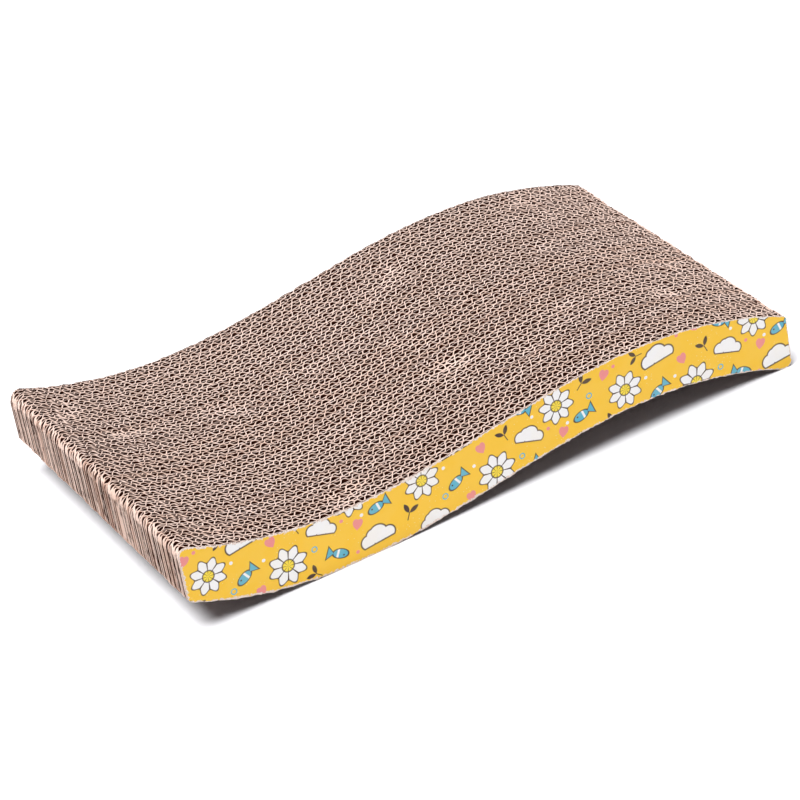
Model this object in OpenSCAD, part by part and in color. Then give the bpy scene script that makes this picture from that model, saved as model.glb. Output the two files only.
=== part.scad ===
// Wave-shaped cat scratcher lounge.
// Upright strips of double-wall corrugated board stand side by side, with the open ends of
// their flutes up, and are glued face to face between two printed paper covers.
// X runs along the lounge, Y across it and Z up. The origin is on the floor under its middle.

/* [Outline] */
// Length from end to end
length = 440; // [400:1:480]
// Upright height of the board, the same all along the wave
board_h = 40; // [30:0.5:60]
// Radius at the four corners of a strip
corner_r = 5; // [2:0.5:8]

/* [Wave] */
// Rise of the wave from its trough to its crest, as the board is cut
wave_rise = 26.5; // [16:0.5:32]
// Distance of the trough and of the crest from the middle
trough_x = 110; // [100:0.5:120]
// How much the wave flattens towards the two ends
end_ease = 0.6; // [0:0.05:1]
// Depth to which the edges that stand on the floor are pressed flat
foot_press = 0.3; // [0.1:0.05:0.6]

/* [Layers] */
// Number of corrugated strips
strip_count = 37; // [21:2:45]
// Thickness of the double-wall board
board_t = 6.6; // [5:0.1:8]
// Thickness of a printed paper cover
cover_t = 0.4; // [0.3:0.05:0.8]

/* [Glue] */
// Thickness of a glue bead between two layers
glue_t = 0.12; // [0.08:0.01:0.3]
// Width of a glue bead
glue_w = 8; // [4:0.5:10]
// Number of glue beads in each joint, one above the other
glue_rows = 2; // [1:1:2]
// Distance of a glue bead's ends from the ends of the board
glue_inset = 18; // [12:1:40]

/* [Hidden] */
// Straight facets along each edge of the wave, round each corner and along each glue bead
wave_steps = 40;
corner_steps = 6;
glue_steps = 20;
// Stretch at each end of the wave that is straight, so that its corner takes a true arc
end_run = 2 * corner_r;
half_length = length / 2;
layer_pitch = board_t + glue_t;
joint_count = strip_count + 1;
width = strip_count * board_t + joint_count * glue_t + 2 * cover_t;
first_strip_y = -width / 2 + cover_t + glue_t;
board_color = "burlywood";
cover_color = "gold";
glue_color = "ivory";

STRIPS = [for (i = [1:strip_count]) str("strip_", i < 10 ? "0" : "", i)];

// Height of the wave as it is cut, above its trough: a cubic that dips and rises once,
// with an ease that leaves the trough and the crest alone and flattens the ends
function wave(x) =
    let(s = x / (2 * trough_x))
    let(cubic = 3 * s - 4 * pow(s, 3))
    let(ease = end_ease * s * pow(s * s - 1 / 4, 2))
    wave_rise / 2 * (1 + cubic + ease);

// The cut wave would stand on its trough alone. It leans until the rounded corner of its low
// end reaches the floor too. The corner's arc stays above the point where its sides would meet.
function lean_to(drop) = (wave(half_length) + drop) / (half_length + trough_x);
end_fall = (wave(half_length - end_run) - wave(half_length)) / end_run + lean_to(corner_r / 2);
arc_drop = corner_r * (end_fall + norm([1, end_fall]) - 1);
lean = lean_to(arc_drop);

// Lower and upper edges of the standing board
function lower(x) = wave(x) - lean * (x + trough_x) - foot_press;
function upper(x) = lower(x) + board_h;

// Places at even steps along the board, from one inset to the other
function along(inset, steps) =
    [for (i = [0:steps]) -half_length + inset + i * (length - 2 * inset) / steps];

function turned(v, angle) = [v.x * cos(angle) - v.y * sin(angle), v.x * sin(angle) + v.y * cos(angle)];

// Arc round the corner at b, from its side towards a to its side towards c
function rounded(a, b, c) =
    let(to_a = (a - b) / norm(a - b))
    let(to_c = (c - b) / norm(c - b))
    let(half = acos(to_a * to_c) / 2)
    let(centre = b + corner_r / sin(half) * (to_a + to_c) / norm(to_a + to_c))
    let(start = b + to_a * corner_r / tan(half) - centre)
    [for (i = [0:corner_steps]) centre + turned(start, i * (180 - 2 * half) / corner_steps)];

function reversed(list) = [for (i = [len(list) - 1:-1:0]) list[i]];

low_edge = [for (x = along(end_run, wave_steps)) [x, lower(x)]];
high_edge = reversed([for (x = along(end_run, wave_steps)) [x, upper(x)]]);
low_left = [-half_length, lower(-half_length)];
low_right = [half_length, lower(half_length)];
high_right = [half_length, upper(half_length)];
high_left = [-half_length, upper(-half_length)];
outline = concat(
    rounded(high_left, low_left, low_edge[0]),
    low_edge,
    rounded(low_edge[wave_steps], low_right, high_right),
    rounded(low_right, high_right, high_edge[0]),
    high_edge,
    rounded(high_edge[wave_steps], high_left, low_left)
);

// Side view of one layer, pressed flat where it stands on the floor
module layer_shape() {
    intersection() {
        polygon(outline);
        translate([-length, 0]) square([2 * length, board_h + 2 * wave_rise]);
    }
}

// Side view of one glue bead, which follows the wave at a height above its lower edge
module bead_shape(height) {
    places = along(glue_inset, glue_steps);
    polygon(concat(
        [for (x = places) [x, lower(x) + height - glue_w / 2]],
        reversed([for (x = places) [x, lower(x) + height + glue_w / 2]])
    ));
}

// Stands a side view upright, from y over a thickness
module upright(y, thickness) {
    translate([0, y + thickness, 0]) rotate([90, 0, 0]) linear_extrude(thickness) children();
}

// Corrugated strip number i, counted from the front
module strip(i) {
    color(board_color) upright(first_strip_y + (i - 1) * layer_pitch, board_t) layer_shape();
}

// Printed paper on the front side
module front_cover() {
    color(cover_color) upright(-width / 2, cover_t) layer_shape();
}

// Printed paper on the back side
module back_cover() {
    color(cover_color) upright(width / 2 - cover_t, cover_t) layer_shape();
}

// Glue beads in every joint, from the front cover to the back cover
module glue_beads() {
    color(glue_color)
        for (joint = [0:joint_count - 1], row = [1:glue_rows])
            upright(first_strip_y - glue_t + joint * layer_pitch, glue_t)
                bead_shape(row * board_h / (glue_rows + 1));
}

for (i = [1:strip_count]) strip(i);
front_cover();
back_cover();
glue_beads();
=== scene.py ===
import math
import random

import bmesh
import bpy
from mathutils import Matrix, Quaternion, Vector, noise
from mathutils.bvhtree import BVHTree


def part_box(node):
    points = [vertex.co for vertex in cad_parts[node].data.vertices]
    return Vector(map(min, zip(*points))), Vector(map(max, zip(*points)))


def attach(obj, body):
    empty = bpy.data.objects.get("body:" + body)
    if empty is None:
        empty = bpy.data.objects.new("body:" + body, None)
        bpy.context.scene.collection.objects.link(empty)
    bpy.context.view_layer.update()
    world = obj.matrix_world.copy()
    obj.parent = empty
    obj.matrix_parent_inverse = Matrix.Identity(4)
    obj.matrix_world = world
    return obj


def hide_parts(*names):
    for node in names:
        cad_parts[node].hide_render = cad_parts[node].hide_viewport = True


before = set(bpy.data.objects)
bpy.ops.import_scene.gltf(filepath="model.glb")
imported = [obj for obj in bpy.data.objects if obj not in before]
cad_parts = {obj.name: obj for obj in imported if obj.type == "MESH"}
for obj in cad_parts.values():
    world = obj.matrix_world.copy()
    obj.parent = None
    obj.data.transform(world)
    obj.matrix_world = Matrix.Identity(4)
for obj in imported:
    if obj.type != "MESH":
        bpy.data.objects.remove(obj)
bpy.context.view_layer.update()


# Corrugated strips
# Thirty-seven strips of double-wall kraft board, three flat liners with a coarse and a fine fluted
# sheet glued between them, stand on edge with the open ends of their flutes up. The die that cuts the
# wave leaves their edges pale and frayed and bends some flutes over. The slits it tears into their
# ends are painted on as dark streaks of painted shade, and the paper is painted darker below its rims
# and behind its ends, as painted shade inside the board.
scene = bpy.context.scene
strip_count = 37
strip_low, strip_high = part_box("strip_01")
strip_length = strip_high.x - strip_low.x
strip_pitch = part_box("strip_02")[0].y - strip_low.y
block_front = strip_low.y
block_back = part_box(f"strip_{strip_count}")[1].y

# The die's outline, taken from the first strip's solid
die_y = (strip_low.y + strip_high.y) / 2
die_margin = 0.00001
die_mesh = bmesh.new()
die_mesh.from_mesh(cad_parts["strip_01"].data)
die_shape = BVHTree.FromBMesh(die_mesh)
die_mesh.free()

press_depth = 0.0045
press_length = 0.01
press_width = 0.018


def pressed_corner(x, y):
    """How far handling has pressed down the upper corner at the back of the left end."""
    along = max(0, 1 - (x - strip_low.x) / press_length)
    across = max(0, 1 - (block_back - y) / press_width)
    return press_depth * along ** 2 * across


def cut_edges(x, y):
    """Heights of the die-cut lower and upper edge at a place on the lounge."""
    ray_x = min(max(x, strip_low.x + die_margin), strip_high.x - die_margin)
    lower = die_shape.ray_cast((ray_x, die_y, -1), (0, 0, 1))[0].z
    upper = die_shape.ray_cast((ray_x, die_y, 1), (0, 0, -1))[0].z
    return lower, upper - pressed_corner(ray_x, y)


def drift(x, y, wavelength, layer):
    """A smooth drift between -1 and 1 over the top of the lounge, with a pattern for each layer."""
    return noise.noise(Vector((x / wavelength, y / wavelength, layer)))


scratch_span = 0.03
scratch_layer = 3
scratch_from = 0.27
worn_end_from = 0.55
worn_end_bend = 0.35


def crushed(x, y):
    """How far the die and the first scratches have bent the flutes over here, from 0 to about 0.6."""
    scratched = max(0, drift(x, y, scratch_span, scratch_layer) - scratch_from)
    return scratched + worn_end_bend * max(0, x / strip_high.x - worn_end_from)


def from_ends(x):
    """Distance of a place along a strip from the nearer end."""
    return max(0, min(x - strip_low.x, strip_high.x - x))


def crowded(along, crowding):
    """A place along a strip, from 0 to 1, moved so that such places crowd towards the ends."""
    return along - crowding * math.sin(2 * math.pi * along) / (2 * math.pi)


paper_t = 0.00022
coarse_pitch = 0.0079
fine_pitch = 0.0065
coarse_share = 0.59
flute_room = strip_high.y - strip_low.y - 3 * paper_t
coarse_room = coarse_share * flute_room
fine_room = flute_room - coarse_room
flute_steps = 12
liner_steps = 200
liner_crowding = 0.8

# A sheet has four rows of points: its two rims, and a row a little inside each of them
top_row = 3

# A flute is a sine whose tips are pressed flat. It slips along the strip and swells across it.
tip_press = 0.14
tip_reach = 0.87
slip = 0.0012
slip_span = 0.016
slip_layer = 1
swell = 0.1
swell_span = 0.011
swell_layer = 2

# How the die frays the rims, and how far the bent flutes lean and drop
fray_depth = 0.003
fray_span = 0.003
fray_layer = 10
lower_fray = 0.0002
upper_fray = 0.0004
sway_span = 0.006
lower_sway = 0.0004
lower_layer = 4
along_sway = 0.0006
along_bend = 0.002
along_layer = 5
across_span = 0.0075
across_sway = 0.0004
across_bend = 0.001
across_layer = 6
bend_drop = 0.002
liner_notch = 0.001
notch_layer = 9
cover_hold = 0.005
corner_reach = 0.004

# Painted shade: how far the paper is painted darker below its rims and behind its ends,
# told as a depth inside the board
flute_shade = 0.0027
end_shade = 0.62
end_pale = 0.0001
corner_shade = 0.15
corner_pale = 0.003
torn_reach = 0.008

# How many times its own thickness a sheet flares to where it is cut
liner_flare = 1.6
flute_flare = 2.95
flare_drift = 0.5
flare_layer = 11
corner_flare = 1.5
back_flare = 1.3
back_reach = 0.0005
end_flare = 2.1


def thicken(board, sheet, fluted, inner, upper_rim):
    """Gives a sheet of paper its thickness, and flares it to its cut rims."""
    board.normal_update()
    known = set(board.faces)
    shell = bmesh.ops.solidify(board, geom=sheet, thickness=paper_t)
    far_side = {part for part in shell["geom"] if isinstance(part, bmesh.types.BMFace)}
    cut_faces = [face for face in board.faces if face not in known and face not in far_side]
    rim = set(cut_faces)
    for face in sheet + list(far_side):
        face.smooth = True
    for face in cut_faces:
        face.material_index = 1
    for edge in dict.fromkeys(edge for face in cut_faces for edge in face.edges):
        edge.smooth = False
        if not rim.issuperset(edge.link_faces):
            continue
        near, far = edge.verts
        middle = (near.co + far.co) / 2
        flare = flute_flare if fluted else liner_flare
        flare *= 1 + flare_drift * drift(middle.x, middle.y, fray_span, flare_layer)
        if not upper_rim.isdisjoint(edge.verts):
            corner = max(0, 1 - from_ends(middle.x) / corner_reach)
            flare *= 1 + corner_flare * corner + crushed(middle.x, middle.y)
        if middle.y > block_back - back_reach:
            flare = back_flare
        if not inner.isdisjoint(edge.verts):
            flare = end_flare
        for vert in (near, far):
            vert.co = middle.lerp(vert.co, flare)
            vert.co.z = max(0, vert.co.z)


def add_ply(board, middle_y, pitch, swing, steps, crowding, cut, draw):
    """Adds one sheet of paper to a board: flat where its swing is nothing, and fluted elsewhere."""
    depth = board.verts.layers.float["depth"]
    torn = board.verts.layers.float["torn"]
    grid = bmesh.ops.create_grid(board, x_segments=steps, y_segments=top_row, size=0.5)
    sheet = list(dict.fromkeys(face for vert in grid["verts"] for face in vert.link_faces))
    phase = draw.uniform(0, 2 * math.pi)
    inner = set()
    upper_rim = set()
    for vert in grid["verts"]:
        row = round(top_row * (vert.co.y + 0.5))
        x = strip_low.x + crowded(vert.co.x + 0.5, crowding) * strip_length
        lower, upper = cut_edges(x, middle_y)
        slipped_x = x + slip * drift(x, middle_y, slip_span, slip_layer)
        swollen = swing / tip_reach * (1 + swell * drift(x, middle_y, swell_span, swell_layer))
        turn = 2 * math.pi * slipped_x / pitch + phase
        y = middle_y + swollen * (math.sin(turn) + tip_press * math.sin(3 * turn))
        x += cut["end"]
        inset = from_ends(x)
        bent = crushed(x, y)
        # Painted shade: the depth sets how much darker the paper is painted below the rims and behind the
        # ends
        if row in (1, 2):
            inner.add(vert)
            vert[torn] = max(0, 1 - inset / torn_reach)
            shade_limit = flute_shade if swing else fray_depth
            vert[depth] = min(shade_limit, end_shade * max(0, inset - end_pale))
        elif not swing:
            vert[depth] = min(fray_depth * (1 - bent), corner_shade * max(0, inset - corner_pale))
        if row == 0:
            z = max(0, lower + cut["height"] + lower_fray * drift(x, y, fray_span, fray_layer))
            x += lower_sway * drift(x, middle_y, sway_span, lower_layer)
        elif row == 1:
            z = lower + fray_depth
        elif row == 2:
            z = upper - fray_depth
        else:
            upper_rim.add(vert)
            z = upper + cut["height"] + upper_fray * drift(x, y, fray_span, fray_layer) - bend_drop * bent
            if not swing:
                z -= liner_notch * max(0, drift(x, y, sway_span, notch_layer))
            loose_along = min(1, inset / corner_reach)
            loose_across = min(1, max(0, min(y - block_front, block_back - y) / cover_hold))
            push_x = loose_along * (along_sway + along_bend * bent)
            push_x *= drift(x, y, sway_span, along_layer)
            push_y = loose_across * (across_sway + across_bend * bent)
            push_y *= drift(x, y, across_span, across_layer)
            x += cut["lean"] + push_x
            y += push_y
        vert.co = (x, y, z)
    thicken(board, sheet, swing > 0, inner, upper_rim)


def tone(red, green, blue):
    """A colour as it looks on the screen, from 0 to 255, turned into Blender's linear light."""
    def linear(part):
        part = part / 255
        return part / 12.92 if part <= 0.04045 else ((part + 0.055) / 1.055) ** 2.4
    return (linear(red), linear(green), linear(blue), 1)


def new_finish(name):
    """A new material, with its node tree and its shader."""
    material = bpy.data.materials.new(name)
    material.use_nodes = True
    return material, material.node_tree, material.node_tree.nodes["Principled BSDF"]


def wire(tree, kind, sockets, **settings):
    """Adds a node and fills its sockets with values or with the outputs of other nodes."""
    node = tree.nodes.new(kind)
    for name, value in settings.items():
        setattr(node, name, value)
    for name, value in sockets.items():
        if isinstance(value, bpy.types.NodeSocket):
            tree.links.new(value, node.inputs[name])
        else:
            node.inputs[name].default_value = value
    return node


def calc(tree, operation, *values):
    """The result of a Math node."""
    return wire(tree, "ShaderNodeMath", dict(enumerate(values)), operation=operation).outputs[0]


def spread(tree, value, start, end, low=0.0, high=1.0):
    """A value that goes smoothly from low to high while another goes from start to end."""
    sockets = {"Value": value, "From Min": start, "From Max": end, "To Min": low, "To Max": high}
    node = wire(tree, "ShaderNodeMapRange", sockets, interpolation_type="SMOOTHSTEP")
    return node.outputs["Result"]


def blend_colour(tree, share, first, second):
    """One colour laid over another by a share."""
    return wire(tree, "ShaderNodeMix", {0: share, 6: first, 7: second}, data_type="RGBA").outputs[2]


def new_group(name, inputs, outputs):
    """A shader node group with its named sockets, and its two ends."""
    tree = bpy.data.node_groups.new(name, "ShaderNodeTree")
    for title, kind in inputs.items():
        tree.interface.new_socket(title, in_out="INPUT", socket_type=kind)
    for title, kind in outputs.items():
        tree.interface.new_socket(title, in_out="OUTPUT", socket_type=kind)
    entry = tree.nodes.new("NodeGroupInput")
    result = tree.nodes.new("NodeGroupOutput")
    return tree, entry.outputs, result.inputs


# Fibres, blotches and the shade of each sheet, for every paper on the lounge
sockets_in = {"Place": "NodeSocketVector", "Sheet": "NodeSocketFloat"}
sockets_out = {"Blotch": "NodeSocketFloat", "Fibre": "NodeSocketFloat", "Shade": "NodeSocketFloat"}
paper_fibre, entry, result = new_group("paper_fibre", sockets_in, sockets_out)
blotch = wire(paper_fibre, "ShaderNodeTexNoise", {"Vector": entry["Place"], "Scale": 70, "Detail": 2})
paper_fibre.links.new(spread(paper_fibre, blotch.outputs["Fac"], 0.35, 0.65), result["Blotch"])
combed = wire(paper_fibre, "ShaderNodeMapping", {"Vector": entry["Place"], "Scale": (1, 1, 2.2)})
fibre = wire(paper_fibre, "ShaderNodeTexNoise",
             {"Vector": combed.outputs[0], "Scale": 950, "Detail": 3, "Roughness": 0.6})
paper_fibre.links.new(spread(paper_fibre, fibre.outputs["Fac"], 0.3, 0.7), result["Fibre"])
shade = wire(paper_fibre, "ShaderNodeTexWhiteNoise", {"W": entry["Sheet"]}, noise_dimensions="1D")
paper_fibre.links.new(shade.outputs["Value"], result["Shade"])

red_from = 0.55
redness = 0.5
blotchiness = 0.3
# Painted shade: a dark brown that stands for the shade in the gaps and inside the board
painted_shade_brown = tone(66, 22, 4)
full_shade_depth = 0.00042

# The torn ends of the strips: paler fibres, with dark slits of painted shade
torn_pale = tone(250, 222, 208)
torn_from = strip_high.x - 0.0045
torn_to = strip_high.x - 0.001
torn_full = 0.8
rim_paleness = 0.4
end_paleness = 0.85
end_red_from = 0.5
end_red_to = 0.8
end_redness = 0.65
slit_comb = (400, 600, 100)
slit_softness = 0.15
slit_full = 0.7
slit_share = 0.95


def kraft(name, dark, light, red, rough, slit_from, with_painted_shade):
    """A kraft paper between a dark and a light tone, some of its sheets redder than others.

    Its torn ends are paler, with slits of painted shade, and painted shade can darken it inside the board.
    """
    material, tree, surface = new_finish(name)
    place = wire(tree, "ShaderNodeTexCoord", {}).outputs["Object"]
    part = wire(tree, "ShaderNodeSeparateXYZ", {"Vector": place}).outputs
    strips_in = calc(tree, "DIVIDE", calc(tree, "SUBTRACT", part["Y"], strip_low.y), strip_pitch)
    sheet = calc(tree, "FLOOR", strips_in)
    paper = wire(tree, "ShaderNodeGroup", {"Place": place, "Sheet": sheet}, node_tree=paper_fibre).outputs
    body = blend_colour(tree, paper["Fibre"], dark, light)
    body = blend_colour(tree, spread(tree, paper["Shade"], red_from, 1, high=redness), body, red)
    body = blend_colour(tree, spread(tree, paper["Blotch"], 0, 1, high=blotchiness), body, dark)

    torn = wire(tree, "ShaderNodeAttribute", {}, attribute_name="torn").outputs["Fac"]
    near_end = spread(tree, calc(tree, "ABSOLUTE", part["X"]), torn_from, torn_to)
    paleness = spread(tree, torn, 0, torn_full, rim_paleness, end_paleness)
    near_end = calc(tree, "MULTIPLY", near_end, paleness)
    body = blend_colour(tree, near_end, body, torn_pale)
    end_red = spread(tree, paper["Shade"], end_red_from, end_red_to, high=end_redness)
    body = blend_colour(tree, calc(tree, "MULTIPLY", near_end, end_red), body, red)

    # Painted shade: dark slits in the torn ends, where the tears would lie in shade
    combed = wire(tree, "ShaderNodeMapping", {"Vector": place, "Scale": slit_comb}).outputs[0]
    ragged = wire(tree, "ShaderNodeTexNoise", {"Vector": combed, "Scale": 1, "Detail": 3}).outputs["Fac"]
    slit_shade = spread(tree, ragged, slit_from, slit_from + slit_softness)
    slit_shade = calc(tree, "MULTIPLY", slit_shade, spread(tree, torn, 0, slit_full, high=slit_share))
    body = blend_colour(tree, slit_shade, body, painted_shade_brown)
    # Painted shade: darker towards the inside of the board, by the depth attribute
    if with_painted_shade:
        depth = wire(tree, "ShaderNodeAttribute", {}, attribute_name="depth").outputs["Fac"]
        body = blend_colour(tree, spread(tree, depth, 0, full_shade_depth), body, painted_shade_brown)

    tree.links.new(body, surface.inputs["Base Color"])
    surface.inputs["Roughness"].default_value = rough
    surface.inputs["Specular IOR Level"].default_value = 0.2
    grain = {"Height": paper["Fibre"], "Strength": 0.4, "Distance": 0.0002}
    tree.links.new(wire(tree, "ShaderNodeBump", grain).outputs["Normal"], surface.inputs["Normal"])
    return material


kraft_face = kraft("kraft_face", dark=tone(178, 125, 93), light=tone(210, 159, 127),
                   red=tone(166, 103, 72), rough=0.9, slit_from=0.5, with_painted_shade=True)
kraft_cut = kraft("kraft_cut", dark=tone(219, 188, 171), light=tone(252, 227, 217),
                  red=tone(221, 184, 164), rough=0.95, slit_from=0.56, with_painted_shade=False)

# How far a strip may shift along the block, stand up or down, and lean
end_shift = 0.0002
height_shift = 0.0003
lean_shift = 0.0002

for number in range(1, strip_count + 1):
    node_name = f"strip_{number:02d}"
    draw = random.Random(number)
    cut = {"end": draw.uniform(-end_shift, end_shift),
           "height": draw.uniform(-height_shift, height_shift),
           "lean": draw.uniform(-lean_shift, lean_shift)}
    front_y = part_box(node_name)[0].y
    coarse_y = front_y + paper_t + coarse_room / 2
    fine_y = front_y + 2 * paper_t + coarse_room + fine_room / 2
    liner_ys = [front_y, front_y + paper_t + coarse_room, front_y + 2 * paper_t + flute_room]
    board = bmesh.new()
    # depth carries the painted shade inside the board; torn, the nearness of a torn end
    board.verts.layers.float.new("depth")
    board.verts.layers.float.new("torn")
    for liner_y in liner_ys:
        add_ply(board, liner_y + paper_t / 2, 1, 0, liner_steps, liner_crowding, cut, draw)
    for middle_y, pitch, room in ((coarse_y, coarse_pitch, coarse_room), (fine_y, fine_pitch, fine_room)):
        steps = round(strip_length / pitch * flute_steps)
        add_ply(board, middle_y, pitch, (room - paper_t) / 2, steps, 0, cut, draw)
    mesh = bpy.data.meshes.new(f"board_{node_name}")
    board.to_mesh(mesh)
    board.free()
    mesh.materials.append(kraft_face)
    mesh.materials.append(kraft_cut)
    strip = bpy.data.objects.new(f"board_{node_name}", mesh)
    scene.collection.objects.link(strip)
    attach(strip, "root")
    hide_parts(node_name)


# Glue beads
# Two thin beads of white glue in each joint hold the strips and the covers face to face. They were
# rolled on, squeezed flat and dried clear, and only their rims can be seen, deep between the sheets.
glue_dark = tone(206, 190, 166)
glue_light = tone(238, 230, 212)
dried_glue, tree, surface = new_finish("dried_glue")
place = wire(tree, "ShaderNodeTexCoord", {}).outputs["Object"]
streak = wire(tree, "ShaderNodeTexNoise", {"Vector": place, "Scale": 180, "Detail": 2}).outputs["Fac"]
tree.links.new(blend_colour(tree, streak, glue_dark, glue_light), surface.inputs["Base Color"])
tree.links.new(spread(tree, streak, 0.3, 0.7, 0.25, 0.5), surface.inputs["Roughness"])
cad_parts["glue_beads"].data.materials.clear()
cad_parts["glue_beads"].data.materials.append(dried_glue)


# Printed covers
# A sheet of white paper on each long side, printed all over with flowers, clouds, fish, hearts and
# sprouts on yellow, glued to the outer strip and die-cut with it. The cut tears its white core into
# a ragged pale border along the edges.
ink_yellow = tone(255, 203, 56)
ink_white = tone(252, 251, 252)
ink_brown = tone(64, 44, 38)
ink_blue = tone(92, 182, 208)
ink_pink = tone(242, 146, 146)
ink_gold = tone(255, 226, 70)
ink_pale = tone(255, 226, 140)


def inside(tree, distance, soft=0.03):
    """A mask that is 1 where a distance is below nothing, with a slightly soft edge."""
    return spread(tree, distance, soft, -soft)


def new_motif(name, masks):
    """A node group that draws one motif of the print, about one unit wide on each side."""
    outputs = {mask: "NodeSocketFloat" for mask in masks}
    tree, entry, result = new_group(name, {"Place": "NodeSocketVector"}, outputs)
    part = wire(tree, "ShaderNodeSeparateXYZ", {"Vector": entry["Place"]}).outputs
    return tree, entry["Place"], part["X"], part["Y"], result


def from_ring(tree, place, x, y, radius):
    """Distance of a place on a motif from a ring round a point, below nothing inside the ring."""
    sockets = {0: place, 1: (x, y, 0)}
    distance = wire(tree, "ShaderNodeVectorMath", sockets, operation="DISTANCE").outputs["Value"]
    return calc(tree, "SUBTRACT", distance, radius)


def from_band(tree, value, middle, half):
    """Distance of a value from a band round a middle, below nothing inside the band."""
    return calc(tree, "SUBTRACT", calc(tree, "ABSOLUTE", calc(tree, "SUBTRACT", value, middle)), half)


def outline(tree, distance, width):
    """A drawn line of a width along the edge of a shape."""
    return inside(tree, from_band(tree, distance, 0, width))


petal_count = 8
petal_lobe = 0.13
petal_reach = 0.84
crease_lobe = -0.9
crease_reach = 0.72
daisy, place, x, y, result = new_motif("daisy", ("Petals", "Centre", "Line"))
reach = from_ring(daisy, place, 0, 0, 0)
lobes = calc(daisy, "COSINE", calc(daisy, "MULTIPLY", calc(daisy, "ARCTAN2", y, x), petal_count))
edge = calc(daisy, "SUBTRACT", reach, calc(daisy, "MULTIPLY_ADD", lobes, petal_lobe, petal_reach))
centre = from_ring(daisy, place, 0, 0, 0.3)
between = calc(daisy, "LESS_THAN", lobes, crease_lobe)
crease = calc(daisy, "MULTIPLY", between, calc(daisy, "LESS_THAN", reach, crease_reach))
line = calc(daisy, "MAXIMUM", outline(daisy, edge, 0.035), outline(daisy, centre, 0.03))
daisy.links.new(inside(daisy, edge), result["Petals"])
daisy.links.new(inside(daisy, centre), result["Centre"])
daisy.links.new(calc(daisy, "MAXIMUM", line, crease), result["Line"])

cloud_base = -0.34
cloud, place, x, y, result = new_motif("cloud", ("Body", "Line"))
edge = from_ring(cloud, place, 0.05, 0.08, 0.48)
for puff_x, puff_y, puff in ((-0.5, -0.08, 0.36), (0.55, -0.1, 0.34), (-0.22, 0.16, 0.32)):
    edge = calc(cloud, "MINIMUM", edge, from_ring(cloud, place, puff_x, puff_y, puff))
edge = calc(cloud, "MAXIMUM", edge, calc(cloud, "SUBTRACT", cloud_base, y))
cloud.links.new(inside(cloud, edge), result["Body"])
cloud.links.new(outline(cloud, edge, 0.035), result["Line"])

slimness = (0.62, 1.1, 0)
tail_slope = 0.9
tail_root = -0.32
tail_end = 0.95
fish, place, x, y, result = new_motif("fish", ("Body", "Stripe", "Line"))
slim = wire(fish, "ShaderNodeVectorMath", {0: place, 1: slimness}, operation="MULTIPLY").outputs["Vector"]
body = from_ring(fish, slim, -0.12, 0, 0.42)
tail_half = calc(fish, "MULTIPLY_ADD", x, tail_slope, tail_root)
tail = calc(fish, "SUBTRACT", calc(fish, "ABSOLUTE", y), tail_half)
tail = calc(fish, "MAXIMUM", tail, calc(fish, "SUBTRACT", x, tail_end))
edge = calc(fish, "MINIMUM", body, tail)
stripe = calc(fish, "MAXIMUM", from_band(fish, x, 0.02, 0.09), body)
eye = from_ring(fish, place, -0.5, 0.1, 0.07)
fish.links.new(inside(fish, edge), result["Body"])
fish.links.new(inside(fish, stripe), result["Stripe"])
fish.links.new(calc(fish, "MAXIMUM", outline(fish, edge, 0.04), inside(fish, eye)), result["Line"])

heart_lift = 0.6
heart_reach = 0.7
heart, place, x, y, result = new_motif("heart", ("Body",))
lift = calc(heart, "MULTIPLY", calc(heart, "SQRT", calc(heart, "ABSOLUTE", x)), heart_lift)
lifted = calc(heart, "SUBTRACT", y, lift)
square = calc(heart, "ADD", calc(heart, "MULTIPLY", x, x), calc(heart, "MULTIPLY", lifted, lifted))
heart.links.new(inside(heart, calc(heart, "SUBTRACT", square, heart_reach), 0.06), result["Body"])

sprout, place, x, y, result = new_motif("sprout", ("Body",))
folded = wire(sprout, "ShaderNodeVectorMath", {0: place}, operation="ABSOLUTE").outputs["Vector"]
leaf = calc(sprout, "MAXIMUM", from_ring(sprout, folded, 0, 0.75, 0.75),
            from_ring(sprout, folded, 0.78, 0.05, 0.75))
leaf = calc(sprout, "MAXIMUM", leaf, calc(sprout, "MULTIPLY", y, -1))
stem = calc(sprout, "MAXIMUM", from_band(sprout, x, 0, 0.05), from_band(sprout, y, -0.35, 0.4))
sprout.links.new(inside(sprout, calc(sprout, "MINIMUM", leaf, stem)), result["Body"])

bubble, place, x, y, result = new_motif("bubble", ("Body", "Ring"))
edge = from_ring(bubble, place, 0, 0, 0.8)
bubble.links.new(inside(bubble, edge, 0.08), result["Body"])
bubble.links.new(outline(bubble, edge, 0.18), result["Ring"])

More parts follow.
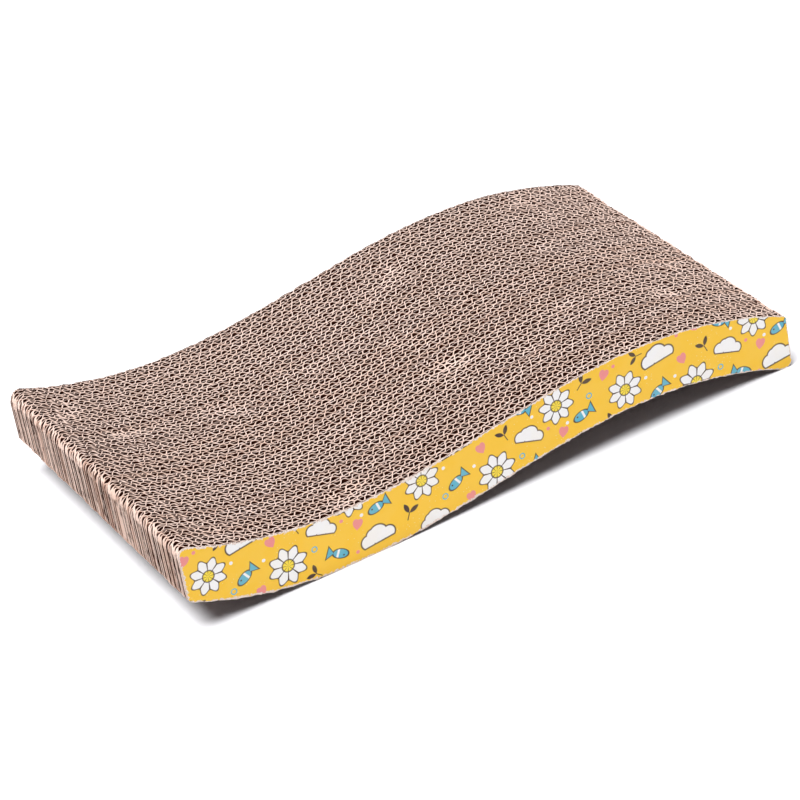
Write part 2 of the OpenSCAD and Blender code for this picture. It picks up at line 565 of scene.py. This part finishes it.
# Each motif with its inks, and where it stands on one repeat of the print: across, up, size and turn
print_repeat = 150
print_plan = (
    (daisy, {"Petals": ink_white, "Centre": ink_gold, "Line": ink_brown},
     ((-54, 36, 13, 0.3), (-2, 19, 14, 1.0), (46, 46, 13, 0.6))),
    (cloud, {"Body": ink_white, "Line": ink_brown},
     ((-28, 50, 14, 0.15), (24, 34, 12, -0.3), (60, 12, 14, 0.1), (-50, 6, 12, 0.2))),
    (fish, {"Body": ink_blue, "Stripe": ink_white, "Line": ink_brown},
     ((-30, 25, 8.5, 0.6), (21, 54, 8, -0.4), (32, 12, 8.5, 2.7), (64, 32, 8.5, 0.3))),
    (heart, {"Body": ink_pink},
     ((-10, 39, 4.2, 0.3), (-68, 52, 4.2, -0.4), (-22, 9, 4, 0.2), (48, 25, 4.2, -0.3), (2, 58, 3.8, 0.5))),
    (sprout, {"Body": ink_brown},
     ((7, 42, 6.5, 0.4), (-66, 18, 7, -0.4), (15, 5, 6.5, 0.9), (66, 54, 7, -0.8), (-43, 56, 6, 1.6))),
    (bubble, {"Ring": ink_blue}, ((-40, 18, 2.3, 0), (33, 58, 2.2, 0), (17, 22, 2.2, 0), (70, 43, 2.3, 0))),
    (bubble, {"Body": ink_pink}, ((-60, 56, 1.6, 0), (38, 33, 1.6, 0), (-12, 58, 1.6, 0), (45, 7, 1.6, 0))),
    (bubble, {"Body": ink_white}, ((-17, 30, 1.5, 0), (-38, 38, 1.5, 0), (52, 31, 1.5, 0), (28, 46, 1.4, 0))),
)

printed_paper, tree, surface = new_finish("printed_paper")
place = wire(tree, "ShaderNodeTexCoord", {}).outputs["Object"]
sheet_mm = wire(tree, "ShaderNodeVectorMath", {0: place, "Scale": 1000}, operation="SCALE").outputs["Vector"]
part = wire(tree, "ShaderNodeSeparateXYZ", {"Vector": sheet_mm}).outputs
repeat = calc(tree, "FLOOR", calc(tree, "MULTIPLY_ADD", part["X"], 1 / print_repeat, 0.5))
across = calc(tree, "MULTIPLY_ADD", repeat, -print_repeat, part["X"])
tile = wire(tree, "ShaderNodeCombineXYZ", {"X": across, "Y": part["Z"]}).outputs["Vector"]

flecks = wire(tree, "ShaderNodeTexVoronoi", {"Vector": sheet_mm, "Scale": 0.42}).outputs["Distance"]
pollen = wire(tree, "ShaderNodeTexNoise", {"Vector": sheet_mm, "Scale": 0.045, "Detail": 0}).outputs["Fac"]
speck = calc(tree, "MULTIPLY", spread(tree, flecks, 0.16, 0.12), spread(tree, pollen, 0.52, 0.58))
colour = blend_colour(tree, speck, ink_yellow, ink_pale)
for motif, inks, stamps in print_plan:
    for stamp_x, stamp_y, size, turn in stamps:
        sockets = {"Vector": tile, "Location": (stamp_x, stamp_y, 0), "Rotation": (0, 0, turn),
                   "Scale": (size, size, size)}
        stamp = wire(tree, "ShaderNodeMapping", sockets, vector_type="TEXTURE").outputs[0]
        shape = wire(tree, "ShaderNodeGroup", {"Place": stamp}, node_tree=motif).outputs
        for mask, ink in inks.items():
            colour = blend_colour(tree, shape[mask], colour, ink)

# The torn border, which narrows towards the right end
tear_least = 0.0003
tear_most = 0.002
tear_narrows_from = -60
tear_narrows_to = 200
tear_right = 0.45
border_dark = tone(226, 204, 192)
border_light = tone(252, 240, 232)
paper = wire(tree, "ShaderNodeGroup", {"Place": place}, node_tree=paper_fibre).outputs
colour = blend_colour(tree, spread(tree, paper["Blotch"], 0, 1, high=0.05), colour, ink_pale)
ragged = wire(tree, "ShaderNodeTexNoise",
              {"Vector": place, "Scale": 420, "Detail": 4, "Roughness": 0.65}).outputs["Fac"]
tear = calc(tree, "MULTIPLY", spread(tree, ragged, 0.36, 0.68, tear_least, tear_most),
            spread(tree, part["X"], tear_narrows_from, tear_narrows_to, 1, tear_right))
from_edge = wire(tree, "ShaderNodeAttribute", {}, attribute_name="from_edge").outputs["Fac"]
border = spread(tree, calc(tree, "SUBTRACT", from_edge, tear), 0.0002, -0.0001)
border_colour = blend_colour(tree, paper["Fibre"], border_dark, border_light)
tree.links.new(blend_colour(tree, border, colour, border_colour), surface.inputs["Base Color"])
tree.links.new(spread(tree, border, 0, 1, 0.5, 0.9), surface.inputs["Roughness"])
surface.inputs["Specular IOR Level"].default_value = 0.3
grain = calc(tree, "ADD", calc(tree, "MULTIPLY", paper["Fibre"], 0.3), border)
bump = wire(tree, "ShaderNodeBump", {"Height": grain, "Strength": 0.25, "Distance": 0.0002})
tree.links.new(bump.outputs["Normal"], surface.inputs["Normal"])

# The covers' cut rims and glued inner sides, in a grey tone darker than the pale torn border
cover_rim_dark = tone(150, 134, 126)
cover_rim_light = tone(214, 198, 190)
grey_cover_rim, tree, surface = new_finish("grey_cover_rim")
place = wire(tree, "ShaderNodeTexCoord", {}).outputs["Object"]
paper = wire(tree, "ShaderNodeGroup", {"Place": place}, node_tree=paper_fibre).outputs
tree.links.new(blend_colour(tree, paper["Fibre"], cover_rim_dark, cover_rim_light), surface.inputs["Base Color"])
surface.inputs["Roughness"].default_value = 0.95
surface.inputs["Specular IOR Level"].default_value = 0.2

cover_steps = 600
cover_crowding = 0.6
cover_rows = (0, 0.015, 0.05, 0.2, 0.5, 0.8, 0.95, 0.985, 1)
cover_top = len(cover_rows) - 1
cover_fray = 0.0003
cover_wander = 0.0007
cover_curl = 0.0004
wander_span = 0.006
wander_layer = 7
curl_layer = 8

for node_name, facing in (("front_cover", 1), ("back_cover", -1)):
    cover_low, cover_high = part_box(node_name)
    outer_y = cover_low.y if facing > 0 else cover_high.y
    draw = random.Random(node_name)
    sheet = bmesh.new()
    edge_layer = sheet.verts.layers.float.new("from_edge")
    grid = bmesh.ops.create_grid(sheet, x_segments=cover_steps, y_segments=cover_top, size=0.5)
    for vert in grid["verts"]:
        row = round(cover_top * (vert.co.y + 0.5))
        along = crowded(0.5 + facing * vert.co.x, cover_crowding)
        x = strip_low.x + along * strip_length
        y = outer_y
        lower, upper = cut_edges(x, outer_y)
        z = lower + cover_rows[row] * (upper - lower)
        vert[edge_layer] = min(z - lower, upper - z, along * strip_length, (1 - along) * strip_length)
        if row in (0, cover_top):
            z += draw.uniform(-cover_fray, cover_fray)
            z = max(0, z + cover_wander * drift(x, outer_y, wander_span, wander_layer))
            y -= facing * max(0, cover_curl * drift(x, outer_y, wander_span, curl_layer))
        vert.co = (x, y, z)
    sheet.normal_update()
    printed = list(sheet.faces)
    bmesh.ops.solidify(sheet, geom=printed, thickness=cover_high.y - cover_low.y)
    for vert in sheet.verts:
        vert.co.z = max(0, vert.co.z)
    for face in sheet.faces:
        face.material_index = 1
    for face in printed:
        face.material_index = 0
        face.smooth = True
    mesh = bpy.data.meshes.new(f"printed_{node_name}")
    sheet.to_mesh(mesh)
    sheet.free()
    mesh.materials.append(printed_paper)
    mesh.materials.append(grey_cover_rim)
    cover = bpy.data.objects.new(f"printed_{node_name}", mesh)
    scene.collection.objects.link(cover)
    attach(cover, "root")
    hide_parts(node_name)


# Studio
# A white floor under a large soft light from above, and a long lens that looks down on the lounge
# from the front and the left, held a little off the level.
floor_size = 4
first_bounce = 0.98
later_bounce = 0.3
floor_white = (1.16, 1.16, 1.19, 1)


def shows_backdrop(tree, rays):
    """A mask of the rays that show the background: from the lens, off gloss and through glass."""
    seen = calc(tree, "MAXIMUM", rays["Is Camera Ray"], rays["Is Glossy Ray"])
    return calc(tree, "MAXIMUM", seen, rays["Is Transmission Ray"])


floor_mesh = bpy.data.meshes.new("floor")
floor_grid = bmesh.new()
bmesh.ops.create_grid(floor_grid, x_segments=2, y_segments=2, size=floor_size)
floor_grid.to_mesh(floor_mesh)
floor_grid.free()
floor = bpy.data.objects.new("floor", floor_mesh)
scene.collection.objects.link(floor)
white_floor = bpy.data.materials.new("white_floor")
white_floor.use_nodes = True
tree = white_floor.node_tree
tree.nodes.clear()
rays = wire(tree, "ShaderNodeLightPath", {}).outputs
lit_tone = spread(tree, rays["Ray Depth"], 1, 2, first_bounce, later_bounce)
lit = wire(tree, "ShaderNodeBsdfDiffuse", {"Color": lit_tone})
shown = wire(tree, "ShaderNodeBsdfDiffuse", {"Color": floor_white})
floor_look = wire(tree, "ShaderNodeMixShader",
                  {0: shows_backdrop(tree, rays), 1: lit.outputs[0], 2: shown.outputs[0]})
wire(tree, "ShaderNodeOutputMaterial", {"Surface": floor_look.outputs[0]})
floor_mesh.materials.append(white_floor)

scene.view_settings.view_transform = "Standard"


def direction(azimuth, elevation):
    """The direction from the lounge to a lamp or a lens, in degrees from the front and up."""
    turn, height = math.radians(azimuth), math.radians(elevation)
    return Vector((math.sin(turn) * math.cos(height), -math.cos(turn) * math.cos(height), math.sin(height)))


softbox_data = bpy.data.lights.new("softbox", "SUN")
softbox_data.energy = 4.35
softbox_data.angle = math.radians(46)
softbox = bpy.data.objects.new("softbox", softbox_data)
softbox.rotation_euler = direction(azimuth=-79, elevation=74).to_track_quat("Z", "Y").to_euler()
scene.collection.objects.link(softbox)

world = bpy.data.worlds.new("studio")
world.use_nodes = True
scene.world = world
tree = world.node_tree
tree.nodes.clear()
rays = wire(tree, "ShaderNodeLightPath", {}).outputs
glow = wire(tree, "ShaderNodeBackground", {"Color": (0.97, 0.9, 0.98, 1), "Strength": 0.09})
backdrop = wire(tree, "ShaderNodeBackground", {"Color": (1, 1, 1, 1), "Strength": 1})
world_look = wire(tree, "ShaderNodeMixShader",
                  {0: shows_backdrop(tree, rays), 1: glow.outputs[0], 2: backdrop.outputs[0]})
wire(tree, "ShaderNodeOutputWorld", {"Surface": world_look.outputs[0]})

lens_aim = Vector((-0.0051, -0.0067, 0.01963))
lens_distance = 2.3521
lens_roll = math.radians(-10.64)
camera_data = bpy.data.cameras.new("camera")
camera_data.lens = 163.2
camera_data.sensor_width = 36
camera = bpy.data.objects.new("camera", camera_data)
back = direction(azimuth=-24.24, elevation=30.83)
camera.location = lens_aim + lens_distance * back
camera.rotation_mode = "QUATERNION"
camera.rotation_quaternion = (-back).to_track_quat("-Z", "Y") @ Quaternion((0, 0, 1), lens_roll)
scene.collection.objects.link(camera)
scene.camera = camera
